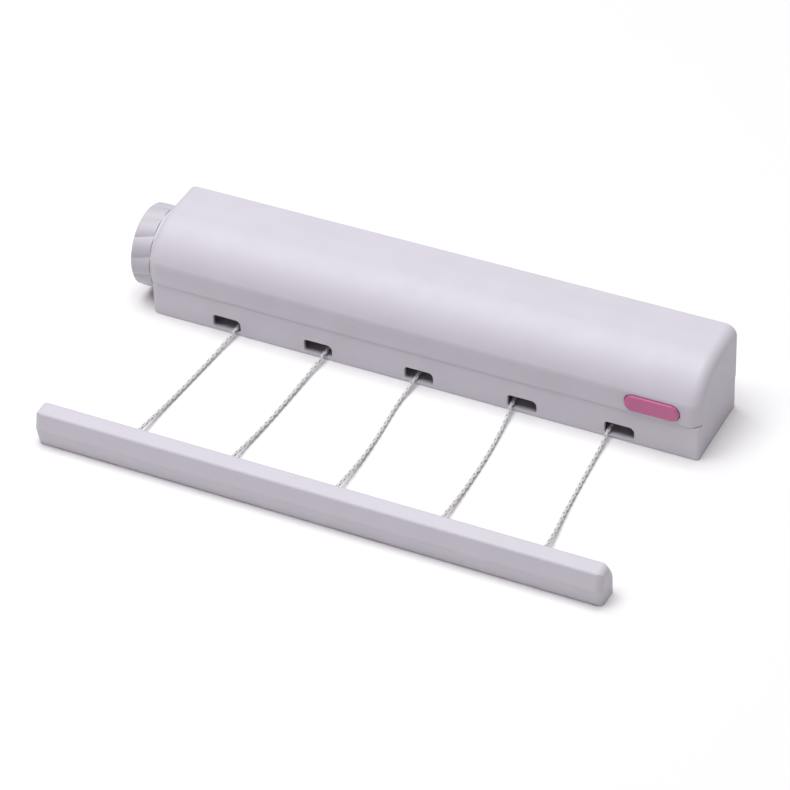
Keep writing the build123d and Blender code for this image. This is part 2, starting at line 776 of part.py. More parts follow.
def brake_bracket():
    """A folded sheet: two uprights on a floor, and a tab that seats the spring."""
    face = outline(BRACKET_SECTION)
    left, right = BRACKET_X
    left_cut = (left - PAST, left + SHEET + PAST)
    right_cut = (right - SHEET - PAST, right + PAST)
    floor_z = (BOSS_Z, BOSS_Z + SHEET)
    floor_cut = (BOSS_Z - PAST, BOSS_Z + SHEET + PAST)
    bracket = slab(face, (left, left + SHEET)) + slab(face, (right - SHEET, right))
    bracket += block((left, right), BRACKET_FLOOR_Y, floor_z)
    bracket -= block(BRACKET_WINDOW_X, BRACKET_WINDOW_Y, floor_cut)
    bracket += block((left, SPRING_TAB_RIGHT), SPRING_TAB_Y, SPRING_TAB_Z)
    for x, y in BRACKET_SCREW_AT:
        bracket -= along_z(SCREW_R + SCREW_PASS, x, y, floor_cut)
    bracket -= along_x(BRACKET_HOLE_R, left_cut)
    bracket -= along_x(BUSH_R + FIT, right_cut)
    bracket -= along_x(PIVOT_R + FIT, (left_cut[0], right_cut[1]), *PIVOT)
    return bracket - along_x(ROD_R + FIT, left_cut, ROD_Y, ROD_Z)


def brake_pivot_pin():
    return along_x(PIVOT_R, BRACKET_X, *PIVOT)


def brake_lever():
    """A rocker: the button pushes its upper arm, its curved lower arm carries the pad."""
    y, z = PIVOT
    lever = along_x(LEVER_BOSS_R, LEVER_X, y, z)
    lever += block(LEVER_ARM_X, (y - LEVER_ARM_HALF, y + LEVER_ARM_HALF), (z, LEVER_TOP))
    lever += slab(sector(LEVER_ARC_R, LEVER_ARC), PAD_X)
    return lever - along_x(PIVOT_R + FIT, (LEVER_X[0] - PAST, LEVER_X[1] + PAST), y, z)


def brake_pad():
    return slab(sector(PAD_R, PAD_ARC), PAD_X)


def brake_spring():
    """A coil spring that holds the pad on the wheel and the button out."""
    path = Helix(pitch=SPRING_PITCH, height=SPRING_Y[1] - SPRING_Y[0], radius=SPRING_R)
    section = Plane(origin=path @ 0, z_dir=path % 0) * Circle(SPRING_WIRE)
    coil = sweep(section, path=path, is_frenet=True)
    return Pos(SPRING_X, SPRING_Y[0], SPRING_Z) * Rot(-90, 0, 0) * coil


def lock_button():
    """An obround cap with a bevelled edge, a flange behind the wall and a nose."""
    front = -COVER_DEPTH - BUTTON_PROUD
    inner = -COVER_DEPTH + WALL + BUTTON_FLANGE_GAP
    back = inner + BUTTON_FLANGE_THICK
    middle = Pos(BUTTON_X, BUTTON_Z)
    cap = through_front(middle * obround(BUTTON_LONG, BUTTON_HIGH), (front, back))
    rim = [e for e in cap.edges() if abs(e.center().Y - front) < SAME]
    cap = chamfer(rim, BUTTON_BEVEL)
    wide, high = BUTTON_FLANGE
    flange = through_front(middle * obround(BUTTON_LONG + wide, BUTTON_HIGH + high), (inner, back))
    flange_x = (BUTTON_X - BUTTON_LONG, BUTTON_X + BUTTON_LONG)
    flange &= block(flange_x, (inner, back), (BUTTON_FLANGE_LOW, BUTTON_Z + BUTTON_LONG))
    nose_z = (SPRING_Z - BUTTON_NOSE_R, SPRING_Z + BUTTON_NOSE_R)
    nose = block(BUTTON_NOSE_X, (inner, BUTTON_NOSE_Y), nose_z)
    nose += along_x(BUTTON_NOSE_R, BUTTON_NOSE_X, BUTTON_NOSE_Y, SPRING_Z)
    return cap + flange + nose


# Pull bar


def bar_outline(inset=0.0):
    """The bar's section as (y, z), with softened ridges."""
    face = outline([(BAR_BACK + y, z) for (y, z), _ in BAR_SECTION])
    for (y, z), radius in BAR_SECTION:
        face = round_corner(face, BAR_BACK + y, z, radius)
    return offset(face, -inset, kind=Kind.INTERSECTION) if inset else face


def end_rounding(first, second):
    """A long block whose outer face lies on one side of the section, rounded at its two ends."""
    start, end = (Vector(0, BAR_BACK + y, z) for y, z in (first, second))
    outward = Vector(1, 0, 0).cross(end - start)
    face_on = Plane(origin=start, x_dir=(1, 0, 0), z_dir=outward)
    solid = block(BAR_ENDS, (-BAR_REACH, BAR_REACH), (-BAR_REACH, 0))
    rims = solid.edges().filter_by(Axis.Y).sort_by(Axis.Z)[-2:]
    return face_on * fillet(rims, BAR_END_ROUND)


def bar_shell():
    corners = [point for point, _ in BAR_SECTION]
    bar = slab(bar_outline(), BAR_ENDS)
    for first, second in zip(corners[1:], corners[2:]):
        bar &= end_rounding(first, second)
    inside = (BAR_ENDS[0] + BAR_WALL, BAR_ENDS[1] - BAR_WALL)
    bar -= slab(bar_outline(BAR_WALL), inside)
    mouth = (BAR_BACK - BAR_WALL - PAST, BAR_BACK + PAST)
    bar -= block(inside, mouth, (BAR_WALL, BAR_STRIP_TOP))
    strip_front = BAR_BACK - BAR_STRIP - BAR_STRIP_GAP
    for x in BAR_SCREW_X:
        bar += along_y(BAR_POST_R, x, (BAR_BACK - BAR_POST_DEEP, strip_front), BAR_SCREW_Z)
        bar -= along_y(SCREW_R + FIT, x, (BAR_BACK - BAR_SCREW_DEEP, BAR_BACK), BAR_SCREW_Z)
    return bar


def bar_back():
    """The strip that closes the bar, with a hole for each cord."""
    inset = BAR_WALL + BAR_STRIP_GAP
    x = (BAR_ENDS[0] + inset, BAR_ENDS[1] - inset)
    strip = block(x, (BAR_BACK - BAR_STRIP, BAR_BACK), (inset, BAR_STRIP_TOP - BAR_STRIP_GAP))
    through = (BAR_BACK - BAR_STRIP - PAST, BAR_BACK + PAST)
    recess = (BAR_BACK - BAR_HEAD_RECESS, BAR_BACK + PAST)
    for x in BAR_CORD_X:
        strip -= along_y(CORD_R + BAR_CORD_GAP, x, through, BAR_CORD_Z)
    for x in BAR_SCREW_X:
        strip -= along_y(SCREW_R + SCREW_PASS, x, through, BAR_SCREW_Z)
        strip -= along_y(SCREW_HEAD_R + HEAD_PASS, x, recess, BAR_SCREW_Z)
    return strip


def bar_screws():
    one = Rot(-90, 0, 0) * screw(SCREW_HEAD_R, BAR_HEAD, SCREW_R, BAR_SCREW_LONG)
    y = BAR_BACK - BAR_HEAD_RECESS
    return Compound(children=[Pos(x, y, BAR_SCREW_Z) * one for x in BAR_SCREW_X])


def cord_stop(x):
    bead = along_y(STOP_R, x, (STOP_Y - STOP_LONG, STOP_Y), BAR_CORD_Z)
    return fillet(bead.edges().filter_by(GeomType.CIRCLE), STOP_ROUND)


# Cords


def corner_radii(points):
    """Each arc is as large as its two runs allow."""
    radii = []
    for before, here, after in zip(points, points[1:], points[2:]):
        first = Vector(*here) - Vector(*before)
        second = Vector(*after) - Vector(*here)
        half_turn = math.radians(first.get_angle(second)) / 2
        radii.append(RUN_SHARE * min(first.length, second.length) / math.tan(half_turn))
    return radii


def cord(name):
    points = CORD_ROUTES[name]
    radii = corner_radii(points)
    path = FilletPolyline(*points, radius=radii)
    tube = sweep(Plane(origin=path @ 0, z_dir=path % 0) * Circle(CORD_R), path=path)
    wanted = math.pi * CORD_R**2 * path.length
    print(name, "length", round(path.length, 1), "radii", [round(r) for r in radii])
    print(name, "volume over section times length", round(tube.volume / wanted, 4))
    return tube


def main():
    os.makedirs("parts", exist_ok=True)
    pieces = {
        "base_shell": base_shell(),
        "top_cover": top_cover(),
        "cover_screws": cover_screws(),
        "bracket_screws": bracket_screws(),
        "guide_rod": guide_rod(),
        "spring_case": spring_case(),
        "power_spring": power_spring(),
        "spring_arbor": spring_arbor(),
        "drum_shaft": drum_shaft(),
        "drive_pins": drive_pins(),
        "brake_wheel": brake_wheel(),
        "retaining_ring": retaining_ring(),
        "knob": knob(),
        "knob_screw": knob_screw(),
        "brake_bracket": brake_bracket(),
        "brake_pivot_pin": brake_pivot_pin(),
        "brake_lever": brake_lever(),
        "brake_pad": brake_pad(),
        "brake_spring": brake_spring(),
        "lock_button": lock_button(),
        "bar_shell": bar_shell(),
        "bar_back": bar_back(),
        "bar_screws": bar_screws(),
        "shaft_support_left": shaft_support(SUPPORT_X[0], -1, cup=True),
        "shaft_support_middle_left": shaft_support(SUPPORT_X[1], 1),
        "shaft_support_middle_right": shaft_support(SUPPORT_X[2], 1),
        "bush_left": bush(CASE_LEFT, -1, CASE_END),
        "bush_middle_left": bush(SUPPORT_X[1] - SUPPORT_WIDE / 2, -1, SUPPORT_WIDE),
        "bush_middle_right": bush(SUPPORT_X[2] - SUPPORT_WIDE / 2, -1, SUPPORT_WIDE),
        "bush_right": bush(BRACKET_X[1] - SHEET, -1, SHEET),
    }
    for number, (outlet_x, bar_x) in enumerate(zip(OUTLET_X, BAR_CORD_X), start=1):
        pieces[f"spool_{number}"] = spool(outlet_x)
        pieces[f"cord_winding_{number}"] = cord_winding(outlet_x)
        pieces[f"cord_stop_{number}"] = cord_stop(bar_x)
        pieces[f"cord_{number}"] = cord(f"cord_{number}")
    for name, shape in pieces.items():
        save(name, shape)


main()
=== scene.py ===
import json
import math

import bpy
import numpy as np
from mathutils import Matrix, Vector


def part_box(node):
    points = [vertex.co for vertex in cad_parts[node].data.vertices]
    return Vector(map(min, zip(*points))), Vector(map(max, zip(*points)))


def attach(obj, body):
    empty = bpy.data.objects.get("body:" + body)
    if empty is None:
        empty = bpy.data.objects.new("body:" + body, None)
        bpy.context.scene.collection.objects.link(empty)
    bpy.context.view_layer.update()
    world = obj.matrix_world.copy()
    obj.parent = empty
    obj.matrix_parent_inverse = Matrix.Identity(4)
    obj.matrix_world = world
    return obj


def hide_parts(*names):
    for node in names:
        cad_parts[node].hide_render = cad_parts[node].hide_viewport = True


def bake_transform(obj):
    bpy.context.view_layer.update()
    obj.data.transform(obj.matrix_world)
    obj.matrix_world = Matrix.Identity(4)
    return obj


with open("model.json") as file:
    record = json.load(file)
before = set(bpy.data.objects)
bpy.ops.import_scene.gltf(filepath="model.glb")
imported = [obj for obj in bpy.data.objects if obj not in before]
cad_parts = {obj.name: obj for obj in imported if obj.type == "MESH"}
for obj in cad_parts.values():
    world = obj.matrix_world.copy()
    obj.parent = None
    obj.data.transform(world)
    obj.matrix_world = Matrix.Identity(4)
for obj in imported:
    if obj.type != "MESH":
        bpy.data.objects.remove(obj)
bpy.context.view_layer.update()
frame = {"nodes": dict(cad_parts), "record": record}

# A retractable wall clothesline. Lengths are in metres, in the frame of the CAD model:
# +X along the housing, -Y to the front, +Z up, and the wall is the plane y = 0.

# The underside lies this far below the origin. Heights of the cords' points are from the underside.
UNDERSIDE = 0.034
# The floor lies this far under the underside, so that the two faces don't coincide.
FLOOR_GAP = 0.00005

# Camera
CAMERA_TARGET = Vector((-0.01528, -0.060, -0.0451))
CAMERA_AZIMUTH = math.radians(27.46)
CAMERA_ELEVATION = math.radians(38.14)
CAMERA_ROLL = math.radians(-2.38)
CAMERA_DISTANCE = 2.23345
CAMERA_LENS = 164.84
CAMERA_SENSOR = 36.0
CAMERA_CLIP_END = 20.0

# Floor and lights. A light's place is an azimuth, an elevation and a distance from the camera's target.
FLOOR_SIZE = 8.0
FLOOR_PALE = (0.86, 0.86, 0.86, 1.0)
FLOOR_PALER = (0.88, 0.88, 0.88, 1.0)
WORLD_COLOUR = (1.0, 0.80, 0.84, 1.0)
WORLD_STRENGTH = 0.14
SOFTBOXES = [
    {
        "name": "top_light",
        "azimuth": math.radians(-75.0),
        "elevation": math.radians(83.0),
        "distance": 4.0,
        "size": 3.4,
        "power": 203.0,
        "colour": (0.975, 0.99, 1.0),
    },
    {
        "name": "left_light",
        "azimuth": math.radians(-55.0),
        "elevation": math.radians(56.0),
        "distance": 2.4,
        "size": 0.5,
        "power": 3.4,
        "colour": (1.0, 0.87, 0.92),
    },
]

# Cords: each runs from the drum, out of its outlet and over the floor into the bar.
CORD_DIAMETER = 0.0025
ROUTE_RESOLUTION = 40
CORD_ROUTES = [
    [
        (-0.1248, -0.034, 0.0084),
        (-0.1267, -0.055, 0.0043),
        (-0.1281, -0.080, 0.0023),
        (-0.1297, -0.108, 0.0017),
        (-0.1315, -0.136, 0.0020),
        (-0.1329, -0.163, 0.0039),
        (-0.1336, -0.1883, 0.0070),
    ],
    [
        (-0.0636, -0.034, 0.0084),
        (-0.0644, -0.055, 0.0045),
        (-0.0655, -0.080, 0.0026),
        (-0.0661, -0.108, 0.0019),
        (-0.0672, -0.136, 0.0018),
        (-0.0692, -0.163, 0.0034),
        (-0.0696, -0.1883, 0.0070),
    ],
    [
        (-0.0020, -0.034, 0.0084),
        (-0.0016, -0.055, 0.0041),
        (-0.0030, -0.080, 0.0020),
        (-0.0003, -0.108, 0.0016),
        (0.0015, -0.136, 0.0023),
        (0.0013, -0.163, 0.0042),
        (0.0008, -0.1883, 0.0070),
    ],
    [
        (0.0604, -0.034, 0.0084),
        (0.0625, -0.055, 0.0044),
        (0.0663, -0.080, 0.0024),
        (0.0687, -0.108, 0.0017),
        (0.0697, -0.136, 0.0019),
        (0.0700, -0.163, 0.0037),
        (0.0702, -0.1883, 0.0070),
    ],
    [
        (0.1252, -0.034, 0.0084),
        (0.1265, -0.055, 0.0043),
        (0.1282, -0.080, 0.0022),
        (0.1301, -0.108, 0.0016),
        (0.1325, -0.136, 0.0021),
        (0.1360, -0.163, 0.0040),
        (0.1370, -0.1883, 0.0070),
    ],
]

# Braid of a cord: yarns that wind both ways round a core and pass over and under each other
YARNS_EACH_WAY = 2
BRAID_PITCH = 0.0115
BRAID_STEP = 0.0004
YARN_MEAN_R = 0.00085
# A yarn lies this much further out where it passes over another, and further in where it passes under.
YARN_WAVE = 0.00014
YARN_HALF_ANGLE = math.radians(58)
YARN_HALF_THICK = 0.00026
YARN_SIDES = 12
CORE_R = 0.00068
CORE_SIDES = 10
# The core's u runs from here and a yarn's from 0 to 1, so that the material can tell them apart.
CORE_U = 2.0

# Cord wound on the barrel of each spool, in layers that run from side to side
BARREL_R = 0.01405
WINDING_LAYERS = 3
WINDING_TURNS = 9
WINDING_POINTS_A_TURN = 48
WINDING_STEP = 0.004
COIL_SIDES = 8

# Coil spring behind the brake lever
BRAKE_WIRE_R = 0.00035
BRAKE_TURNS = 5
BRAKE_POINTS_A_TURN = 32

# Materials. A noise is given as its cycles per metre and its octaves, and some as their roughness too.
# A pair of shades is what a colour is multiplied by. A bump is given as its strength and its height.
NOISE_RANGE = (0.3, 0.7)
BEVEL_SAMPLES = 6
# The rounded normal and the plain one have this dot product on an edge and away from it.
EDGE_DOTS = (0.85, 0.999)

MOTTLE_NOISE = (45.0, 4.0)
MOTTLE_SHADES = (0.985, 1.015)
# Edges are painted lighter in patches: rubbed plastic, and also a painted highlight along the rims.
SCUFF_AND_HIGHLIGHT_NOISE = (260.0, 5.0)
SCUFF_AND_HIGHLIGHT_NOISE_RANGE = (0.42, 0.62)
SCUFF_AND_HIGHLIGHT_SHARE = 0.6
SCUFF_AND_HIGHLIGHT_SHADE = 1.06
SCUFF_ROUGHER = 0.2
DULL_NOISE = (120.0, 6.0, 0.6)
WAVY_NOISE = (22.0, 1.0)
WAVY_BUMP = (0.25, 0.0004)
GRAIN_NOISE = (2600.0, 2.0)
GRAIN_STRENGTH = 0.5

STEEL_SHADES = (0.85, 1.1)
STEEL_EDGE_R = 0.0002
STEEL_BUMP = (0.4, 0.00002)

RUBBER_SHADES = (0.8, 1.3)
RUBBER_ROUGH = (0.7, 0.9)
RUBBER_BUMP = (0.6, 0.00005)

# Filament lines of a yarn, in lines round it and along each cord diameter
FILAMENT_SCALE = (10.0, 2.2, 1.0)
FILAMENT_WAVE = {"Scale": 1.0, "Distortion": 1.5, "Detail": 2.0}
FILAMENT_SHARE = 0.2
FILAMENT_SHADE = 0.7
FILAMENT_BUMP = (0.5, 0.00006)
CLOUDY_NOISE = (700.0, 3.0)
CLOUDY_SHADES = (0.94, 1.06)
# Painted shade: each yarn is painted darker towards its sides, away from its outward crown.
YARN_EDGE_RANGE = (0.0, 0.6)
YARN_EDGE_PAINTED_SHADE = 0.66
# Painted shade: the core, seen only in the gaps between yarns, is painted dark.
CORE_PAINTED_SHADE = 0.45
FIBRE_NOISE = (1500.0, 2.0)
FIBRE_ROUGH = (0.45, 0.65)

HOUSING_WHITE = (0.608, 0.588, 0.648)
BUTTON_PINK = (0.555, 0.122, 0.290)
INNER_GREY = (0.30, 0.31, 0.33)
BUSH_CREAM = (0.74, 0.72, 0.66)
ZINC = (0.62, 0.62, 0.64)
SPRING_BLUE = (0.30, 0.31, 0.35)
SCREW_ZINC = (0.66, 0.65, 0.62)
PAD_BLACK = (0.03, 0.03, 0.03)
CORD_SILVER = (0.73, 0.73, 0.73)
# The knob is the housing's plastic painted darker by this factor: painted shade, so that the knob reads
# less lit than the housing.
KNOB_PAINTED_SHADE = 0.89


# Meshes


def mesh_object(name, points, faces, material, uvs=None, smooth=True):
    """A mesh piece from arrays of points and quads."""
    mesh = bpy.data.meshes.new(name)
    mesh.from_pydata([tuple(p) for p in points], [], [tuple(f) for f in faces])
    mesh.update()
    if uvs is not None:
        layer = mesh.uv_layers.new(name="along")
        loops = np.zeros(len(mesh.loops), np.int32)
        mesh.loops.foreach_get("vertex_index", loops)
        layer.data.foreach_set("uv", np.asarray(uvs, np.float32)[loops].ravel())
    mesh.shade_smooth() if smooth else mesh.shade_flat()
    mesh.materials.append(material)
    piece = bpy.data.objects.new(name, mesh)
    bpy.context.scene.collection.objects.link(piece)
    return piece


def route_line(route, name):
    """Points of the smooth line of a route: a NURBS spline, read back as Blender gives it."""
    curve = bpy.data.curves.new(name, "CURVE")
    curve.dimensions = "3D"
    curve.resolution_u = ROUTE_RESOLUTION
    spline = curve.splines.new("NURBS")
    spline.points.add(len(route) - 1)
    for point, (x, y, z) in zip(spline.points, route):
        point.co = (x, y, z - UNDERSIDE, 1.0)
    spline.order_u = 3
    spline.use_endpoint_u = True
    holder = bpy.data.objects.new(name, curve)
    bpy.context.scene.collection.objects.link(holder)
    bpy.context.view_layer.update()
    mesh = bpy.data.meshes.new_from_object(holder)
    line = np.array([v.co for v in mesh.vertices], float)
    bpy.data.objects.remove(holder)
    bpy.data.curves.remove(curve)
    bpy.data.meshes.remove(mesh)
    return line


def even_steps(line, step):
    """Points at even steps along a line, and how far along it each lies."""
    along = np.concatenate([[0.0], np.cumsum(np.linalg.norm(np.diff(line, axis=0), axis=1))])
    count = int(round(along[-1] / step)) + 1
    at = np.linspace(0.0, along[-1], count)
    points = np.stack([np.interp(at, along, line[:, k]) for k in range(3)], axis=1)
    return points, at


def side_frames(points):
    """Two side directions at each point of a line that never runs straight up."""
    tangent = np.gradient(points, axis=0)
    tangent /= np.linalg.norm(tangent, axis=1)[:, None]
    side = np.cross(tangent, np.array([0.0, 0.0, 1.0]))
    side /= np.linalg.norm(side, axis=1)[:, None]
    return side, np.cross(side, tangent)


def tube_points(centres, half_side, half_up, sides):
    """Points of a tube: each ring is an ellipse spanned by two half axes per centre."""
    angles = np.linspace(0.0, 2 * math.pi, sides, endpoint=False)
    ring = np.cos(angles)[None, :, None] * half_side[:, None, :]
    ring = ring + np.sin(angles)[None, :, None] * half_up[:, None, :]
    return (centres[:, None, :] + ring).reshape(-1, 3)


def tube_faces(count, sides):
    """Quads round a tube of that many rings, and its two end faces."""
    faces = []
    for ring in range(count - 1):
        for k in range(sides):
            here, after = ring * sides + k, ring * sides + (k + 1) % sides
            faces.append([here, after, after + sides, here + sides])
    last = (count - 1) * sides
    return faces + [list(range(sides))[::-1], [last + k for k in range(sides)]]


def coil_points(points, outward, radius):
    """Points of a round tube along a coil, given the directions away from the coil's axis."""
    outward = outward / np.linalg.norm(outward, axis=1)[:, None]
    forward = np.gradient(points, axis=0)
    forward /= np.linalg.norm(forward, axis=1)[:, None]
    across = np.cross(forward, outward)
    return tube_points(points, across * radius, outward * radius, COIL_SIDES)


def tube_uvs(along, sides, first_u=0.0):
    """u once round the tube, v in cord diameters along it."""
    u = first_u + np.tile(np.arange(sides) / sides, len(along))
    return np.stack([u, np.repeat(along / CORD_DIAMETER, sides)], axis=1)


def yarn(points, side, up, angle, radius):
    """A flat yarn that winds round a line: each ring is bent round the line."""
    round_it = np.linspace(0.0, 2 * math.pi, YARN_SIDES, endpoint=False)
    turned = angle[:, None] + YARN_HALF_ANGLE * np.cos(round_it)
    reach = radius[:, None] + YARN_HALF_THICK * np.sin(round_it)
    ring = np.cos(turned)[..., None] * side[:, None] + np.sin(turned)[..., None] * up[:, None]
    return (points[:, None] + reach[..., None] * ring).reshape(-1, 3)


def braid(points, along):
    """Points, faces and uvs of a braided cord that follows a line."""
    side, up = side_frames(points)
    count = len(points)
    turn = 2 * math.pi / BRAID_PITCH
    tubes = []
    for way in (1, -1):
        for number in range(YARNS_EACH_WAY):
            angle = way * turn * along + 2 * math.pi * number / YARNS_EACH_WAY
            over = way * np.cos(YARNS_EACH_WAY * turn * along)
            radius = YARN_MEAN_R + YARN_WAVE * over
            tubes.append((yarn(points, side, up, angle, radius), YARN_SIDES, 0.0))
    tubes.append((tube_points(points, side * CORE_R, up * CORE_R, CORE_SIDES), CORE_SIDES, CORE_U))
    all_points, all_faces, all_uvs, start = [], [], [], 0
    for ring_points, sides, first_u in tubes:
        all_points.append(ring_points)
        all_faces += [[k + start for k in face] for face in tube_faces(count, sides)]
        all_uvs.append(tube_uvs(along, sides, first_u))
        start += len(ring_points)
    return np.concatenate(all_points), all_faces, np.concatenate(all_uvs)


def winding(inner, outer, width):
    """Centre line of a cord wound round the X axis in layers, each running back over the last."""
    half = CORD_DIAMETER / 2
    turns = np.linspace(0.0, WINDING_TURNS, WINDING_TURNS * WINDING_POINTS_A_TURN, endpoint=False)
    across = (turns / WINDING_TURNS - 0.5) * (width - CORD_DIAMETER)
    layers = []
    for layer in range(WINDING_LAYERS):
        radius = inner + half + (outer - inner - CORD_DIAMETER) * layer / (WINDING_LAYERS - 1)
        angle = 2 * math.pi * turns
        x = across if layer % 2 == 0 else -across
        layers.append(np.stack([x, radius * np.cos(angle), radius * np.sin(angle)], axis=1))
    return np.concatenate(layers)


# Materials


class Shader:
    """A Principled material with helpers that add and link its nodes."""

    def __init__(self, name, **values):
        self.material = bpy.data.materials.new(name)
        self.material.use_nodes = True
        self.tree = self.material.node_tree
        self.bsdf = self.tree.nodes["Principled BSDF"]
        for socket, value in values.items():
            self.bsdf.inputs[socket.replace("_", " ")].default_value = value

    def node(self, kind, inputs=(), **settings):
        made = self.tree.nodes.new(kind)
        for key, value in settings.items():
            setattr(made, key, value)
        for key, value in dict(inputs).items():
            if isinstance(value, bpy.types.NodeSocket):
                self.tree.links.new(value, made.inputs[key])
            else:
                made.inputs[key].default_value = value
        return made

    def noise(self, scale, detail=3.0, roughness=0.5):
        """Noise over the object, between 0 and 1. Scale is in cycles per metre."""
        place = self.node("ShaderNodeTexCoord").outputs["Object"]
        inputs = {"Vector": place, "Scale": scale, "Detail": detail, "Roughness": roughness}
        return self.node("ShaderNodeTexNoise", inputs).outputs["Fac"]

    def spread(self, value, low, high, given=NOISE_RANGE):
        """Map a value from the range it is given in to low and high."""
        inputs = {
            "Value": value,
            "From Min": given[0],
            "From Max": given[1],
            "To Min": low,
            "To Max": high,
        }
        return self.node("ShaderNodeMapRange", inputs).outputs["Result"]

    def mix(self, share, first, second):
        """Blend two colours. A Mix node's colours are its inputs 6 and 7 and its output 2."""
        inputs = {0: share, 6: first, 7: second}
        return self.node("ShaderNodeMix", inputs, data_type="RGBA").outputs[2]

    def combine(self, operation, first, second=0.0):
        made = self.node("ShaderNodeMath", {0: first, 1: second}, operation=operation)
        return made.outputs["Value"]

    def edges(self, radius):
        """Two outputs: the normal rounded over each edge, and 1 on edges and 0 elsewhere."""
        bevel = self.node("ShaderNodeBevel", {"Radius": radius}, samples=BEVEL_SAMPLES)
        rounded = bevel.outputs["Normal"]
        plain = self.node("ShaderNodeNewGeometry").outputs["Normal"]
        dot = self.node("ShaderNodeVectorMath", {0: rounded, 1: plain}, operation="DOT_PRODUCT")
        return rounded, self.spread(dot.outputs["Value"], 1.0, 0.0, EDGE_DOTS)

    def bump(self, height, strength, distance, normal=None):
        inputs = {"Height": height, "Strength": strength, "Distance": distance}
        if normal is not None:
            inputs["Normal"] = normal
        return self.node("ShaderNodeBump", inputs).outputs["Normal"]

    def set(self, socket, value):
        self.tree.links.new(value, self.bsdf.inputs[socket])


def shade(colour, factor):
    """The colour times a factor, opaque."""
    return tuple(c * factor for c in colour[:3]) + (1.0,)


def moulded_plastic(name, colour, rough=(0.3, 0.4), grain=0.00002, coat=0.0, edge_radius=0.0004):
    """Injection-moulded plastic: faint mottling, fine grain, slow waviness and rubbed edges, which are
    painted lighter as wear and as a painted highlight.
    """
    s = Shader(name, IOR=1.49, Coat_Weight=coat, Coat_Roughness=0.2)
    rounded, edge = s.edges(edge_radius)
    mottle = s.spread(s.noise(*MOTTLE_NOISE), 0.0, 1.0)
    body = s.mix(mottle, *[shade(colour, factor) for factor in MOTTLE_SHADES])
    # Wear and painted highlight: patches along the edges are painted lighter and made rougher.
    patchy = s.spread(s.noise(*SCUFF_AND_HIGHLIGHT_NOISE), 0.0, SCUFF_AND_HIGHLIGHT_SHARE, SCUFF_AND_HIGHLIGHT_NOISE_RANGE)
    scuff_and_highlight = s.combine("MULTIPLY", edge, patchy)
    s.set("Base Color", s.mix(scuff_and_highlight, body, shade(colour, SCUFF_AND_HIGHLIGHT_SHADE)))
    dull = s.spread(s.noise(*DULL_NOISE), *rough)
    s.set("Roughness", s.combine("ADD", dull, s.combine("MULTIPLY", scuff_and_highlight, SCUFF_ROUGHER)))
    wavy = s.bump(s.noise(*WAVY_NOISE), *WAVY_BUMP, rounded)
    s.set("Normal", s.bump(s.noise(*GRAIN_NOISE), GRAIN_STRENGTH, grain, wavy))
    return s.material


def plated_steel(name, colour, rough=(0.25, 0.45), scale=400.0):
    """Plated steel with dull patches, fine streaks and still finer grain."""
    s = Shader(name, Metallic=1.0)
    patch = s.spread(s.noise(scale / 4, 5.0), 0.0, 1.0)
    s.set("Base Color", s.mix(patch, *[shade(colour, factor) for factor in STEEL_SHADES]))
    s.set("Roughness", s.spread(s.noise(scale, 6.0, 0.7), *rough))
    rounded, _ = s.edges(STEEL_EDGE_R)
    s.set("Normal", s.bump(s.noise(scale * 4, 3.0), *STEEL_BUMP, rounded))
    return s.material


def rubber(name, colour):
    """Dull rubber with a fine grain."""
    s = Shader(name, IOR=1.5)
    s.set("Base Color", s.mix(s.noise(300.0), *[shade(colour, factor) for factor in RUBBER_SHADES]))
    s.set("Roughness", s.spread(s.noise(900.0, 4.0), *RUBBER_ROUGH))
    s.set("Normal", s.bump(s.noise(1800.0, 4.0), *RUBBER_BUMP))
    return s.material


def cord_fibre(name, colour):
    """Twisted filaments: fine lines along each yarn, with painted shade on the yarn edges and on the
    core between the yarns.
    """
    s = Shader(name, IOR=1.5, Sheen_Weight=0.15, Sheen_Roughness=0.4)
    uv = s.node("ShaderNodeUVMap", uv_map="along").outputs["UV"]
    mapping = s.node("ShaderNodeMapping", {"Vector": uv, "Scale": FILAMENT_SCALE})
    wave_inputs = {"Vector": mapping.outputs["Vector"], **FILAMENT_WAVE}
    filament = s.node("ShaderNodeTexWave", wave_inputs, bands_direction="DIAGONAL").outputs["Fac"]
    cloudy = s.spread(s.noise(*CLOUDY_NOISE), 0.0, 1.0)
    body = s.mix(cloudy, *[shade(colour, factor) for factor in CLOUDY_SHADES])
    lines = s.combine("MULTIPLY", filament, FILAMENT_SHARE)
    lined = s.mix(lines, body, shade(colour, FILAMENT_SHADE))
    u = s.node("ShaderNodeSeparateXYZ", {"Vector": uv}).outputs["X"]
    # Painted shade on the yarn sides: darker away from the outward crown of each yarn.
    crown = s.combine("SINE", s.combine("MULTIPLY", u, 2 * math.pi))
    edge = s.spread(crown, 1.0, 0.0, YARN_EDGE_RANGE)
    edge_shaded = s.mix(edge, lined, shade(colour, YARN_EDGE_PAINTED_SHADE))
    # Painted shade: the core, seen only between the yarns, is painted dark.
    core = s.combine("GREATER_THAN", u, (1.0 + CORE_U) / 2)
    s.set("Base Color", s.mix(core, edge_shaded, shade(colour, CORE_PAINTED_SHADE)))
    s.set("Roughness", s.spread(s.noise(*FIBRE_NOISE), *FIBRE_ROUGH))
    s.set("Normal", s.bump(filament, *FILAMENT_BUMP))
    return s.material


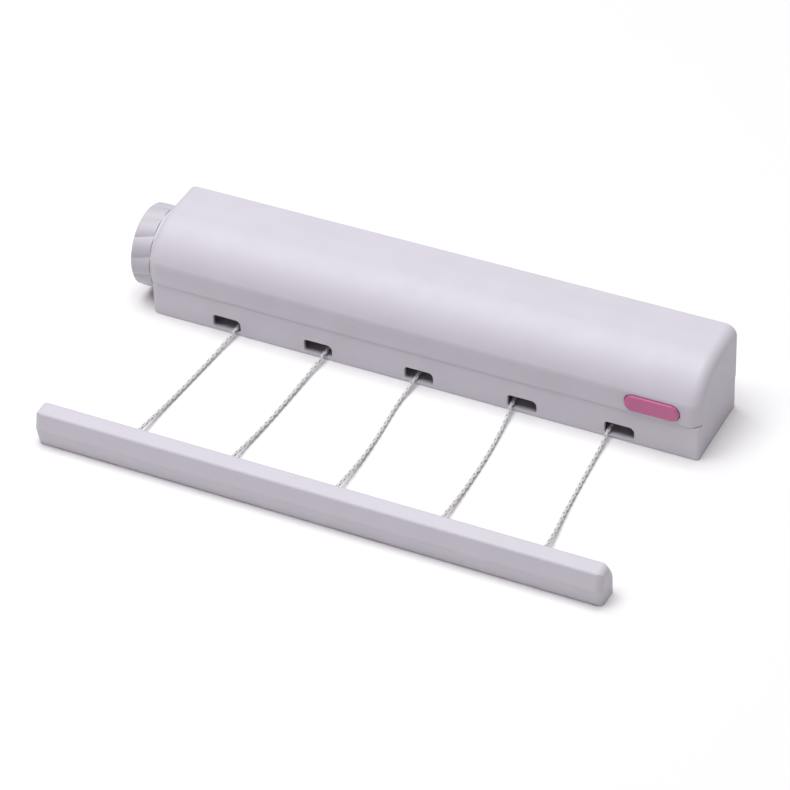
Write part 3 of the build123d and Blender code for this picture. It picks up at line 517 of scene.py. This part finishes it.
MATERIALS = {
    "housing_white": moulded_plastic("housing_white", HOUSING_WHITE, rough=(0.5, 0.62)),
    "button_pink": moulded_plastic("button_pink", BUTTON_PINK, rough=(0.25, 0.34), coat=0.2),
    "inner_plastic": moulded_plastic("inner_plastic", INNER_GREY, rough=(0.45, 0.6), grain=0.00004),
    "bush_plastic": moulded_plastic("bush_plastic", BUSH_CREAM, rough=(0.4, 0.5)),
    "steel": plated_steel("steel", ZINC),
    "spring_steel": plated_steel("spring_steel", SPRING_BLUE, rough=(0.2, 0.35), scale=600.0),
    "screw_steel": plated_steel("screw_steel", SCREW_ZINC, rough=(0.2, 0.4), scale=900.0),
    "pad_rubber": rubber("pad_rubber", PAD_BLACK),
    "cord_line": cord_fibre("cord_line", CORD_SILVER),
}

OWN_MATERIALS = {
    # Painted shade: the knob gets the housing's plastic, darkened.
    "knob": moulded_plastic("knob_white_painted_shade", shade(HOUSING_WHITE, KNOB_PAINTED_SHADE), rough=(0.45, 0.58)),
}


def dress_cad_nodes():
    """Each CAD node gets its own material, or the one of its slot in the record."""
    for row in frame["record"]["subparts"]:
        node = frame["nodes"][row["node"]]
        material = OWN_MATERIALS.get(row["node"], MATERIALS[row["material_slot"]])
        node.data.materials.clear()
        node.data.materials.append(material)


# Camera, floor and lights


def direction(azimuth, elevation):
    """A unit vector away from the object. Azimuth 0 is straight to the front, -Y."""
    level = math.cos(elevation)
    return Vector((math.sin(azimuth) * level, -math.cos(azimuth) * level, math.sin(elevation)))


def make_camera():
    """The camera at the photograph's angle."""
    back = direction(CAMERA_AZIMUTH, CAMERA_ELEVATION)
    right = Vector((math.cos(CAMERA_AZIMUTH), math.sin(CAMERA_AZIMUTH), 0.0))
    up = back.cross(right)
    roll_cos, roll_sin = math.cos(CAMERA_ROLL), math.sin(CAMERA_ROLL)
    rolled_right = right * roll_cos + up * roll_sin
    rolled_up = up * roll_cos - right * roll_sin
    data = bpy.data.cameras.new("camera")
    data.lens = CAMERA_LENS
    data.sensor_width = CAMERA_SENSOR
    data.clip_end = CAMERA_CLIP_END
    camera = bpy.data.objects.new("camera", data)
    turn = Matrix((rolled_right, rolled_up, back)).transposed().to_4x4()
    camera.matrix_world = Matrix.Translation(CAMERA_TARGET + back * CAMERA_DISTANCE) @ turn
    bpy.context.scene.collection.objects.link(camera)
    bpy.context.scene.camera = camera


def make_floor():
    """A plain pale floor under the object."""
    half = FLOOR_SIZE / 2
    z = -UNDERSIDE - FLOOR_GAP
    corners = [(-half, -half, z), (half, -half, z), (half, half, z), (-half, half, z)]
    s = Shader("floor_white", Specular_IOR_Level=0.1)
    s.set("Base Color", s.mix(s.noise(3.0), FLOOR_PALE, FLOOR_PALER))
    s.set("Roughness", s.spread(s.noise(40.0), 0.8, 0.9))
    mesh_object("floor", corners, [(0, 1, 2, 3)], s.material, smooth=False)


def softbox(name, azimuth, elevation, distance, size, power, colour):
    """A square area light that looks at the camera's target."""
    back = direction(azimuth, elevation)
    data = bpy.data.lights.new(name, "AREA")
    data.shape = "SQUARE"
    data.size = size
    data.energy = power
    data.color = colour
    light = bpy.data.objects.new(name, data)
    light.location = CAMERA_TARGET + back * distance
    light.rotation_mode = "QUATERNION"
    light.rotation_quaternion = (-back).to_track_quat("-Z", "Y")
    bpy.context.scene.collection.objects.link(light)


def make_lights():
    """An even warm surround, a large soft light overhead and a small one at the left."""
    world = bpy.data.worlds.new("studio")
    world.use_nodes = True
    background = world.node_tree.nodes["Background"]
    background.inputs["Color"].default_value = WORLD_COLOUR
    background.inputs["Strength"].default_value = WORLD_STRENGTH
    bpy.context.scene.world = world
    for values in SOFTBOXES:
        softbox(**values)
    bpy.context.scene.view_settings.view_transform = "Standard"


# Pieces that replace CAD nodes


def make_cords():
    """The braided cords, each from its outlet to the bar's back."""
    for number, route in enumerate(CORD_ROUTES, start=1):
        line = route_line(route, f"route_{number}")
        points, along = even_steps(line, BRAID_STEP)
        mesh_points, faces, uvs = braid(points, along)
        material = MATERIALS["cord_line"]
        piece = mesh_object(f"braided_cord_{number}", mesh_points, faces, material, uvs)
        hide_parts(f"cord_{number}")
        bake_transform(piece)


def make_brake_spring():
    """The coil spring between its bracket on the housing and the lever, which presses it together."""
    low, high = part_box("brake_spring")
    middle = np.array((low + high) / 2)
    radius = (high.x - low.x) / 2 - BRAKE_WIRE_R
    angle = np.linspace(0.0, 2 * math.pi * BRAKE_TURNS, BRAKE_TURNS * BRAKE_POINTS_A_TURN)
    reach = (high.y - low.y) / 2 - BRAKE_WIRE_R
    along = np.linspace(-reach, reach, len(angle))
    points = np.stack([radius * np.cos(angle), along, radius * np.sin(angle)], axis=1)
    rings = coil_points(points, points * (1.0, 0.0, 1.0), BRAKE_WIRE_R) + middle
    faces = tube_faces(len(points), COIL_SIDES)
    piece = mesh_object("coiled_brake_spring", rings, faces, MATERIALS["spring_steel"])
    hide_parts("brake_spring")
    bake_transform(piece)


def make_windings():
    """The cord on each spool, turn by turn."""
    for number in range(1, len(CORD_ROUTES) + 1):
        node = f"cord_winding_{number}"
        low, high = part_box(node)
        middle = np.array((low + high) / 2)
        outer = (high.z - low.z) / 2
        line = winding(BARREL_R, outer, high.x - low.x)
        points, along = even_steps(line, WINDING_STEP)
        rings = coil_points(points, points * (0.0, 1.0, 1.0), CORD_DIAMETER / 2) + middle
        faces = tube_faces(len(points), COIL_SIDES)
        uvs = tube_uvs(along, COIL_SIDES)
        piece = mesh_object(f"wound_cord_{number}", rings, faces, MATERIALS["cord_line"], uvs)
        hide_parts(node)
        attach(piece, "drum")


make_camera()
make_floor()
make_lights()
dress_cad_nodes()
make_cords()
make_windings()
make_brake_spring()
